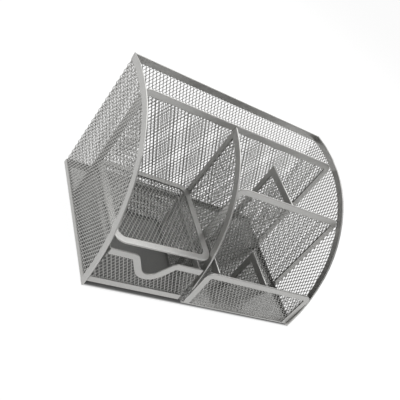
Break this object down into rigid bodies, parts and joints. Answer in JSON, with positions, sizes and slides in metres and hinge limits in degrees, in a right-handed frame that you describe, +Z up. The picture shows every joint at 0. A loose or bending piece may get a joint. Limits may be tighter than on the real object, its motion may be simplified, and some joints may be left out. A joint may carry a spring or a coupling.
{
  "type": "mesh desk organizer with drawer",
  "caption": "Silver steel mesh desk organizer with curved ends, upright bins, a rear slot and a raised tray over a sliding drawer with a finger dip.",
  "frame": {"origin": "centre of the footprint, on the table", "axes": "+X to the right end seen from the front, +Y to the back, +Z up"},
  "size_m": [0.222, 0.1456, 0.132],
  "materials": {
    "coated_mesh": "silver-grey satin powder coat on expanded steel mesh",
    "coated_edging": "silver-grey satin powder coat on folded sheet steel",
    "coated_sheet": "grey satin powder coat on flat sheet steel"
  },
  "bodies": {
    "frame": {"back_base_rail": "coated_edging", "back_mesh": "coated_mesh", "back_top_rim": "coated_edging", "base_front_hem": "coated_edging", "base_sheet": "coated_sheet", "centre_partition_mesh": "coated_mesh", "centre_partition_rim": "coated_edging", "front_divider_mesh": "coated_mesh", "front_divider_rim": "coated_edging", "front_panel_mesh": "coated_mesh", "front_panel_rim": "coated_edging", "left_base_rail": "coated_edging", "left_end_mesh": "coated_mesh", "left_end_rim": "coated_edging", "middle_divider_mesh": "coated_mesh", "middle_divider_rim": "coated_edging", "middle_panel_mesh": "coated_mesh", "middle_panel_rim": "coated_edging", "rear_divider_mesh": "coated_mesh", "rear_divider_rim": "coated_edging", "right_base_rail": "coated_edging", "right_end_mesh": "coated_mesh", "right_end_rim": "coated_edging", "slot_divider_mesh": "coated_mesh", "slot_divider_rim": "coated_edging", "tray_mesh": "coated_mesh", "tray_rim": "coated_edging"},
    "drawer": {"drawer_back_wall_mesh": "coated_mesh", "drawer_back_wall_rim": "coated_edging", "drawer_floor": "coated_sheet", "drawer_front_bottom_rim": "coated_edging", "drawer_front_mesh": "coated_mesh", "drawer_front_top_rim": "coated_edging", "drawer_left_wall_mesh": "coated_mesh", "drawer_left_wall_rim": "coated_edging", "drawer_right_wall_mesh": "coated_mesh", "drawer_right_wall_rim": "coated_edging"}
  },
  "joints": [
    {"name": "drawer_slide", "type": "slide", "parent": "frame", "child": "drawer", "axis": [0, -1, 0], "range_m": [0, 0.08]}
  ]
}
